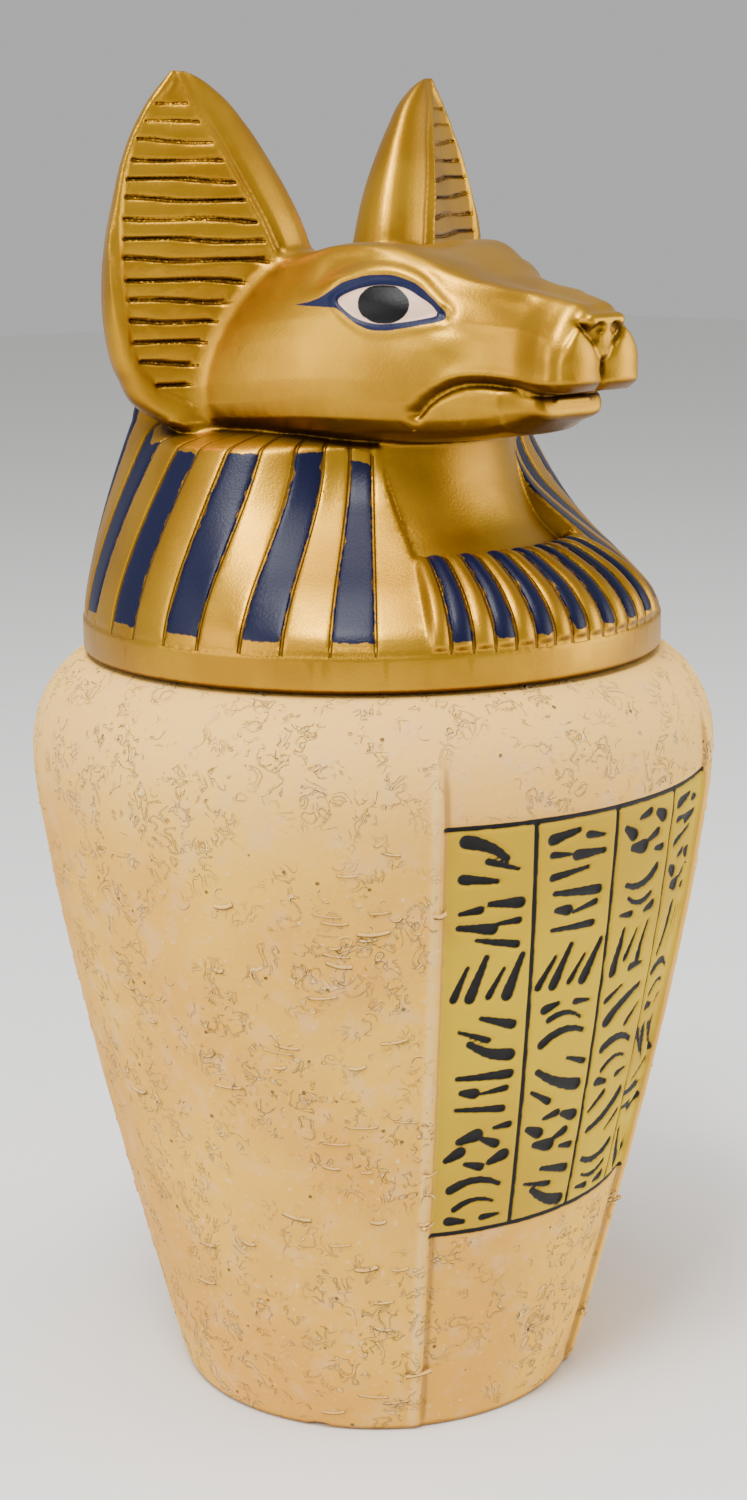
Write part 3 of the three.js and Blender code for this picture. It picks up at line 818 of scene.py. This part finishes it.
def addMuzzle(block, x, y, z):
    # lip pads, nose, nostrils and the groove under the nose, joined to the head's front
    ax = np.abs(x)
    pad = ellipsoid(ax, y, z, (4.5, -51.0, 183.7), (4.5, 3.9, 5.2))
    nose = polygonDistance(x, z, np.array([[-3.1, 189.8], [0, 185.6], [3.1, 189.8]]))
    slope = -53.4 - 0.9 * np.clip((z - 184) / 6, 0, 1)
    nose = -smoothMin(-np.maximum(nose, y + 48), y - slope, 1.6)
    block = smoothMin(block, pad, 2.4)
    block = smoothMin(block, nose - 1.4, 0.8)
    nostril = lineDistance((ax, y, z), [[1.7, -55.4, 188.8], [2.5, -55.2, 188.3], [2.3, -54.9, 187.1]]) - 0.95
    block = -smoothMin(-block, nostril, 0.4)
    block += 0.8 * bell(x, 0.55) * smooth(184.6, 183.6, z) * smooth(178.4, 179.2, z) * smooth(-51, -53, y)
    edge = (ax - 5.0 * (z - 183.9) / 7.0) * 0.83
    onFront = smooth(183.6, 184.6, z) * smooth(190.4, 189.2, z) * smooth(-52, -53, y)
    block += 0.45 * bell(edge - 0.6, 0.5) * onFront
    # each lip pad stands a little proud, in an outline placed by how far round the muzzle it is
    around = 0.743 * ax + 0.669 * (y + 54.5)
    pad = np.array([[0, 184.6], [4.2, 189.0], [6.2, 186.4], [7.2, 183.6], [7.3, 177], [0, 177]])
    raised = polygonDistance(around, z, pad)
    return block - 0.5 * smooth(0.35, -0.35, raised) * smooth(-46, -49, y)


farOff = 30.0  # a field's value away from its part


def lidField(xs, ys, zs):
    # the whole lid as one field of distances, slice by slice
    wig, head, ears = (np.full((len(xs), len(ys), len(zs)), farOff, np.float32) for _ in range(3))
    x, y = np.meshgrid(xs, ys, indexing="ij")
    angle = np.degrees(np.arctan2(x, -y)).astype(np.float32)
    r = np.hypot(x, y).astype(np.float32)
    for k, z in enumerate(zs):
        if z < 195:
            wig[:, :, k] = wigField(angle, r, float(z))
    xi = np.abs(xs) < 34
    zi = (zs > 160) & (zs < 210)
    hx, hz = np.meshgrid(xs[xi], zs[zi], indexing="ij")
    front, back = headSections[0, 0], headSections[-1, 0]
    for j, level in enumerate(ys):
        if front - 3 < level < back + 4:
            flat = polygonDistance(hx, hz, headOutline(level))
            past = max(front - level, level - back)
            block = np.maximum(flat, past) if past < 0 else np.maximum(flat, 0) + past
            if level < -42:
                jaw = block + 1.3 * smooth(-40, -48, level)
                jaw = -smoothMin(-jaw, level - lid["jawFront"], 1.6)
                block = mix(block, jaw, smooth(179.0, 178.4, hz))
                block = addMuzzle(block, hx, level, hz)
            close = np.abs(block) < 3
            block[close] += headDetail(hx[close], np.full(close.sum(), level), hz[close])
            head[np.ix_(xi, [j], zi)] = block[:, None, :]
    across, depth = earPlace(x, y)
    near = (np.abs(x) > 2) & (y > -12) & (y < 34)
    for k, z in enumerate(zs):
        if 168 < z < lidTop + 1:
            flat = polygonDistance(across[near], depth[near], earOutline(min(z, lidTop)))
            flat = np.maximum(flat, z - lidTop)
            close = np.abs(flat) < 2.5
            clear = smooth(0.4, 1.9, head[:, :, k][near][close])
            flat[close] += clear * earDetail(x[near][close], y[near][close], np.full(close.sum(), z))
            ears[:, :, k][near] = flat
    return wig, head, ears


cellCorners = [(i, j, k) for i in (0, 1) for j in (0, 1) for k in (0, 1)]


def surfaceNet(field, origin, cell):
    # a point in every grid cell that the surface passes, and quads round every grid edge that it crosses
    solid = field < 0
    shape = wide, deep, tall = np.array(field.shape) - 1
    count = sum(solid[i:i + wide, j:j + deep, k:k + tall].astype(np.uint8) for i, j, k in cellCorners)
    cells = np.argwhere((count > 0) & (count < 8))
    index = -np.ones(shape, np.int64)
    index[tuple(cells.T)] = np.arange(len(cells))
    total = np.zeros((len(cells), 3))
    hits = np.zeros(len(cells))
    values = {c: field[tuple((cells + c).T)].astype(float) for c in cellCorners}
    for axis in range(3):
        for c in cellCorners:
            if c[axis]:
                continue
            a, b = values[c], values[tuple(1 if i == axis else c[i] for i in range(3))]
            cross = (a < 0) != (b < 0)
            total[cross] += c
            total[cross, axis] += a[cross] / (a[cross] - b[cross])
            hits[cross] += 1
    points = (cells + total / hits[:, None]) * cell + origin
    quads = []
    for axis in range(3):
        inner = [slice(1, -1)] * 3
        here, there = list(inner), list(inner)
        here[axis], there[axis] = slice(0, -1), slice(1, None)
        here, there = solid[tuple(here)], solid[tuple(there)]
        spots = np.argwhere(here != there)
        outward = here[tuple(spots.T)]
        ring = []
        for du, dv in ((0, 0), (-1, 0), (-1, -1), (0, -1)):
            spot = spots + 1
            spot[:, axis] -= 1
            spot[:, (axis + 1) % 3] += du
            spot[:, (axis + 2) % 3] += dv
            ring.append(index[tuple(spot.T)])
        ring = np.stack(ring, 1)
        ring[~outward] = ring[~outward][:, ::-1]
        quads.append(ring)
    return points, np.concatenate(quads)


def sampleField(field, origin, cell, points):
    # the field's value at any point, blended from the corners of its cell
    at = (points - origin) / cell
    low = np.clip(np.floor(at).astype(int), 0, np.array(field.shape) - 2)
    part = at - low
    return sum(np.prod(np.where(np.array(c) == 1, part, 1 - part), axis=1) * field[tuple((low + c).T)]
               for c in cellCorners)


def lidPaint(points, fromHead):
    # signed distances for the painted parts, negative inside the paint
    x, y, z = points.T
    angle = np.degrees(np.arctan2(x, -y))
    side, r = np.abs(angle), np.hypot(x, y)
    hood = foldStripe(angle) * perDegree * r
    place, isBlue = ribPlace(angle)
    width = 2 * lid["lappet"] / lid["ribs"] * perDegree * r
    rib = (1 - np.abs(place)) * width / 2 * np.where(isBlue, -1, 1)
    rib = np.maximum(rib, 35.2 - r)
    onCollar = (side < lappetEdge(z)) & (z < 153.4) & (r > 33.5)
    stripe = np.where(side < lappetEdge(z), np.where(onCollar, rib, noPaint), hood)
    stripe = np.where(z < rimTop - 0.5, noPaint, stripe)
    crest = lid["wigTop"] - lid["wigTurn"] + 20 * smooth(105, 135, side)  # where the stripes stop
    ends = np.maximum(rimTop + 1.5 - z, np.where(onCollar, -9, np.maximum(2.6 - fromHead, z - crest)))
    along, up, out = eyePlace(np.abs(x), y, z)
    onEye = (out > -5) & (y < -4) & (z > 180)
    eye = {"opening": polygonDistance(along, up, eyeOpening), "liner": polygonDistance(along, up, eyeLiner),
           "pupil": (np.hypot((along - 1.5) / 4.6, (up - 0.35) / 3.15) - 1) * 3.6}
    paint = {"edge": stripe, "blue": np.maximum(stripe, ends)}
    for name, value in eye.items():
        paint[name] = np.where(onEye, np.minimum(value, 9.0), 9.0)
    return paint


def makeLid(material):
    cell = lid["cell"]
    low = np.array([-53.0, -58.0, jarTop - 6])
    xs, ys, zs = (np.arange(low[i], high, cell) for i, high in enumerate((53.0, 53.0, lidTop + 2)))
    wig, head, ears = lidField(xs, ys, zs)
    field = smoothMin(smoothMin(wig, head, 0.8), ears, 1.8)
    print("lid field", field.shape)
    points, quads = surfaceNet(field, low, cell)
    mesh = bpy.data.meshes.new("lid_net")
    mesh.from_pydata(points.tolist(), [], quads.tolist())
    net = placeObject("lid_net", mesh)
    # the painted eyes keep every point, so that their edges stay smooth
    along, up, out = eyePlace(np.abs(points[:, 0]), points[:, 1], points[:, 2])
    onEye = (along > -11) & (along < 19) & (up > -5) & (up < 6.5) & (np.abs(out) < 5) & (points[:, 1] < -4)
    net.vertex_groups.new(name="free").add(np.flatnonzero(~onEye).tolist(), 1.0, "REPLACE")
    thin = net.modifiers.new("thin", "DECIMATE")
    thin.vertex_group = "free"
    thin.ratio = min(1.0, lid["triangles"] / (2 * len(quads)))
    thinned = finishedMesh(net)
    bpy.data.objects.remove(net)
    co = np.zeros(len(thinned.vertices) * 3, np.float32)
    thinned.vertices.foreach_get("co", co)
    co = co.reshape(-1, 3).astype(float)
    faces = [list(p.vertices) for p in thinned.polygons]
    piece = newPiece("lid_casting", co, faces, "lid", material)
    above = np.minimum(head, ears)
    for rise in (3, 6, 9):
        above[:, :, :-rise] = np.minimum(above[:, :, :-rise], above[:, :, rise:] + 0.8 * rise * cell)
    fromHead = sampleField(above, low, cell, co)
    fromWig = sampleField(wig, low, cell, co)
    paint = lidPaint(co, fromHead)
    onWig = fromWig < fromHead
    paint["blue"] = np.where(onWig, paint["blue"], noPaint)
    paint["edge"] = np.where(onWig & (fromHead > 0.8), paint["edge"], noPaint)
    paint["groove"] = np.where(sampleField(head, low, cell, co) > 0.8, bandGroove(*co.T), noPaint)
    for name, value in paint.items():
        setAttribute(piece.data, name, value)
    print("lid mesh", len(points), "points,", len(faces), "faces")
    return piece


def newMaterial(name):
    material = bpy.data.materials.new(name)
    material.use_nodes = True
    tree = material.node_tree
    tree.nodes.clear()
    return material, tree


def castStone():
    # polyester resin filled with marble dust, cast in a textured mould and dry-brushed: matt and chalky
    material, tree = newMaterial("cast_stone_resin")
    coords = addNode(tree, "ShaderNodeTexCoord").outputs["Object"]
    broad = noise(tree, coords, 40, 3)
    fine = noise(tree, coords, 1.2, 3)
    ridgeWearAndShade, raised, paint, cut = (attributeNode(tree, name) for name in ("ridgeWearAndShade", "raised", "paint", "cut"))
    # curled knife marks and pinholes, too fine for the wall itself, as bumps with painted highlight and
    # shade, and none on the painted panel
    bare = step(tree, paint, 0.6, 1.6)
    flow = addNode(tree, "ShaderNodeTexNoise", {},
                   {"Vector": coords, "Scale": 280.0, "Detail": 1.5, "Distortion": 1.6}).outputs["Fac"]
    patches = step(tree, noise(tree, coords, 17, 3), 0.38, 0.56)
    broken = step(tree, noise(tree, coords, 4, 2), 0.48, 0.57)
    patches = times(tree, times(tree, patches, broken), bare)
    lip, shade = (maths(tree, "ABSOLUTE", maths(tree, "SUBTRACT", flow, at)) for at in (0.5, 0.54))
    curl = times(tree, step(tree, lip, 0.035, 0.01), patches)
    shade = times(tree, step(tree, shade, 0.03, 0.01), patches)
    pits = addNode(tree, "ShaderNodeTexVoronoi", {}, {"Vector": coords, "Scale": 330.0})
    pick = addNode(tree, "ShaderNodeSeparateColor", {}, {"Color": pits.outputs["Color"]}).outputs[0]
    pit = times(tree, step(tree, pits.outputs["Distance"], 0.13, 0.07), step(tree, pick, 0.8, 0.82))
    pit = times(tree, pit, bare)
    stone = layered(tree, blendColour(tree, step(tree, broad, 0.35, 0.65), *jar["stone"]), (
        (step(tree, partOf(tree, coords, "Z"), 0.1, 0.128), 0.75, "#FFCB6C"),  # painted light: the shoulder, which faces up towards the lamps, is painted paler
        (step(tree, fine, 0.62, 0.8), 1.0, "#EDC98C"),
        (step(tree, noise(tree, coords, 5, 6), 0.5, 0.7), 0.35, "#E3B88A"),
        (step(tree, ridgeWearAndShade, 0.2, 1.0), 0.4, "#F2D08C"),  # rubbed ridges, with painted shade beside them
        (step(tree, ridgeWearAndShade, -0.2, -0.8), 0.6, "#8F6426"),
        (raised, 0.35, "#F0CE8E"),  # torn lips, dry-brushed paler, with painted shade on their undersides
        (times(tree, faceDown(tree, -0.1, -0.45), raised), 0.9, "#4E3214"),
        # painted shade in the creases
        (step(tree, openness(tree, 0.0012, 6), 0.9, 0.5), 0.6, "#7E5622"),
        # painted highlight along each curled lip, painted shadow beside it, and painted shade in the pinholes
        (shade, 0.17, "#A86C2C"), (curl, 0.4, "#F9DDA0"), (pit, 0.8, "#5A3C1C")))
    # yellow enamel on the panel, and black in its cuts
    wobble = times(tree, maths(tree, "SUBTRACT", noise(tree, coords, 2.5, 3), 0.5), 0.9)
    yellow = blendColour(tree, step(tree, broad, 0.4, 0.6), *jar["yellow"])
    colour = blendColour(tree, step(tree, maths(tree, "ADD", paint, wobble), 0.15, -0.15), stone, yellow)
    black = step(tree, maths(tree, "ADD", cut, times(tree, wobble, 0.35)), 0.12, -0.12)
    colour = blendColour(tree, black, colour, jar["black"])
    marks = maths(tree, "SUBTRACT", times(tree, curl, 0.8), maths(tree, "MAXIMUM", pit, shade))
    rubbed = times(tree, fine, maths(tree, "ADD", 0.25, times(tree, bare, 0.75)))
    normal = bumpNode(tree, 0.5, 0.0004, rubbed, bumpNode(tree, 1.0, 0.0006, marks))
    rough = maths(tree, "SUBTRACT", 0.74, times(tree, black, 0.14))
    addSurface(tree, {"Base Color": colour, "Roughness": rough, "Specular IOR Level": 0.3, "Normal": normal})
    return material


def goldPaint():
    # bronze-powder paint over resin, rubbed with a brown wash: satin and warm, with painted shade in the
    # hollows and underneath
    material, tree = newMaterial("gold_painted_resin")
    coords = addNode(tree, "ShaderNodeTexCoord").outputs["Object"]
    patch = noise(tree, coords, 14, 4)
    grain = noise(tree, coords, 0.45, 2)
    ragged = maths(tree, "SUBTRACT", noise(tree, coords, 2.2, 4), 0.5)

    def brushed(name, uneven):
        # distance to a painted shape, whose edge the brush left uneven
        return maths(tree, "ADD", attributeNode(tree, name), times(tree, ragged, uneven))

    isBlue = step(tree, brushed("blue", 1.3), -0.05, -0.3)
    isLiner = step(tree, brushed("liner", 0.3), 0.1, -0.1)
    isOpen = step(tree, attributeNode(tree, "opening"), 0.08, -0.08)
    isPupil = times(tree, step(tree, brushed("pupil", 0.5), 0.1, -0.1), isOpen)
    stripeEdge = step(tree, maths(tree, "ABSOLUTE", attributeNode(tree, "edge")), 0.42, 0.1)
    cutLine = maths(tree, "MAXIMUM", stripeEdge, step(tree, brushed("groove", 0.5), 0.36, 0.0))
    colour = layered(tree, blendColour(tree, step(tree, patch, 0.35, 0.65), *lid["gold"]), (
        (step(tree, openness(tree, 0.014, 8), 0.86, 0.4), 0.8, "#6E4A12"),  # painted shade in wide hollows
        # painted shade on the undersides
        (faceDown(tree, -0.1, -0.55), 0.85, "#472A08"),
        (step(tree, openness(tree, 0.002, 8), 0.92, 0.5), 1.0, "#4A300A"),  # brown wash in the creases, deepened with painted shade
        # painted shade along the stripe edges and in the grooves between the ear's bands
        (cutLine, 0.7, "#4A2C10"),
        (isBlue, 1.0, lid["navy"]),  # satin acrylic
        (isLiner, 1.0, lid["liner"]), (isOpen, 1.0, lid["eyeWhite"]), (isPupil, 1.0, "#060607")))
    painted = maths(tree, "MAXIMUM", isBlue, maths(tree, "MAXIMUM", isLiner, isOpen))
    lines = bumpNode(tree, 1.0, 0.0003, maths(tree, "SUBTRACT", 1.0, cutLine))
    metal = times(tree, maths(tree, "SUBTRACT", 1.0, painted), 0.85)
    addSurface(tree, {"Base Color": colour, "Metallic": metal, "Specular IOR Level": 0.2,
                      "Roughness": maths(tree, "ADD", 0.38, times(tree, isPupil, 0.05)),
                      "Normal": bumpNode(tree, 0.15, 0.0002, grain, lines)})
    return material


def plainMaterial(name, code, rough):
    material, tree = newMaterial(name)
    addSurface(tree, {"Base Color": linearHex(code), "Roughness": rough})
    return material


makeJar(castStone())
makeLid(goldPaint())


# Each light: degrees round from the front, then height, distance and size in metres, and watts.
lights = {
    "key": (-62, 1.05, 0.56, 0.3, 11), "side": (-100, 0.4, 0.8, 0.5, 3.5),
    "fill": (46, 0.25, 0.8, 0.6, 5), "top": (-60, 1.2, 0.2, 0.6, 8),
}


def makeStage(half=3.0):
    mesh = bpy.data.meshes.new("floor")
    corners = [(-half, -half, 0), (half, -half, 0), (half, half, 0), (-half, half, 0)]
    mesh.from_pydata(corners, [], [(0, 1, 2, 3)])
    mesh.materials.append(plainMaterial("pale_floor", "#F4F3F1", 0.9))
    floor = placeObject("floor", mesh)
    world = bpy.data.worlds.new("studio")
    world.use_nodes = True
    backdrop = world.node_tree.nodes["Background"]
    backdrop.inputs["Color"].default_value = (1, 1, 1, 1)
    backdrop.inputs["Strength"].default_value = 0.5
    bpy.context.scene.world = world


def addLight(name, turn, height, distance, size, power):
    # a soft box aimed at the jar's shoulder
    data = bpy.data.lights.new(name, "AREA")
    data.size = size
    data.energy = power
    a = math.radians(turn)
    spot = np.array([distance * math.sin(a), -distance * math.cos(a), height])
    back = spot - np.array([0, 0, 0.13])
    back /= np.linalg.norm(back)
    side = np.cross([0, 0, 1], back)
    side /= np.linalg.norm(side)
    aim(placeObject(name, data), side, np.cross(back, side), back, spot)


makeStage()
for name, values in lights.items():
    addLight(name, *values)

print("finishing")
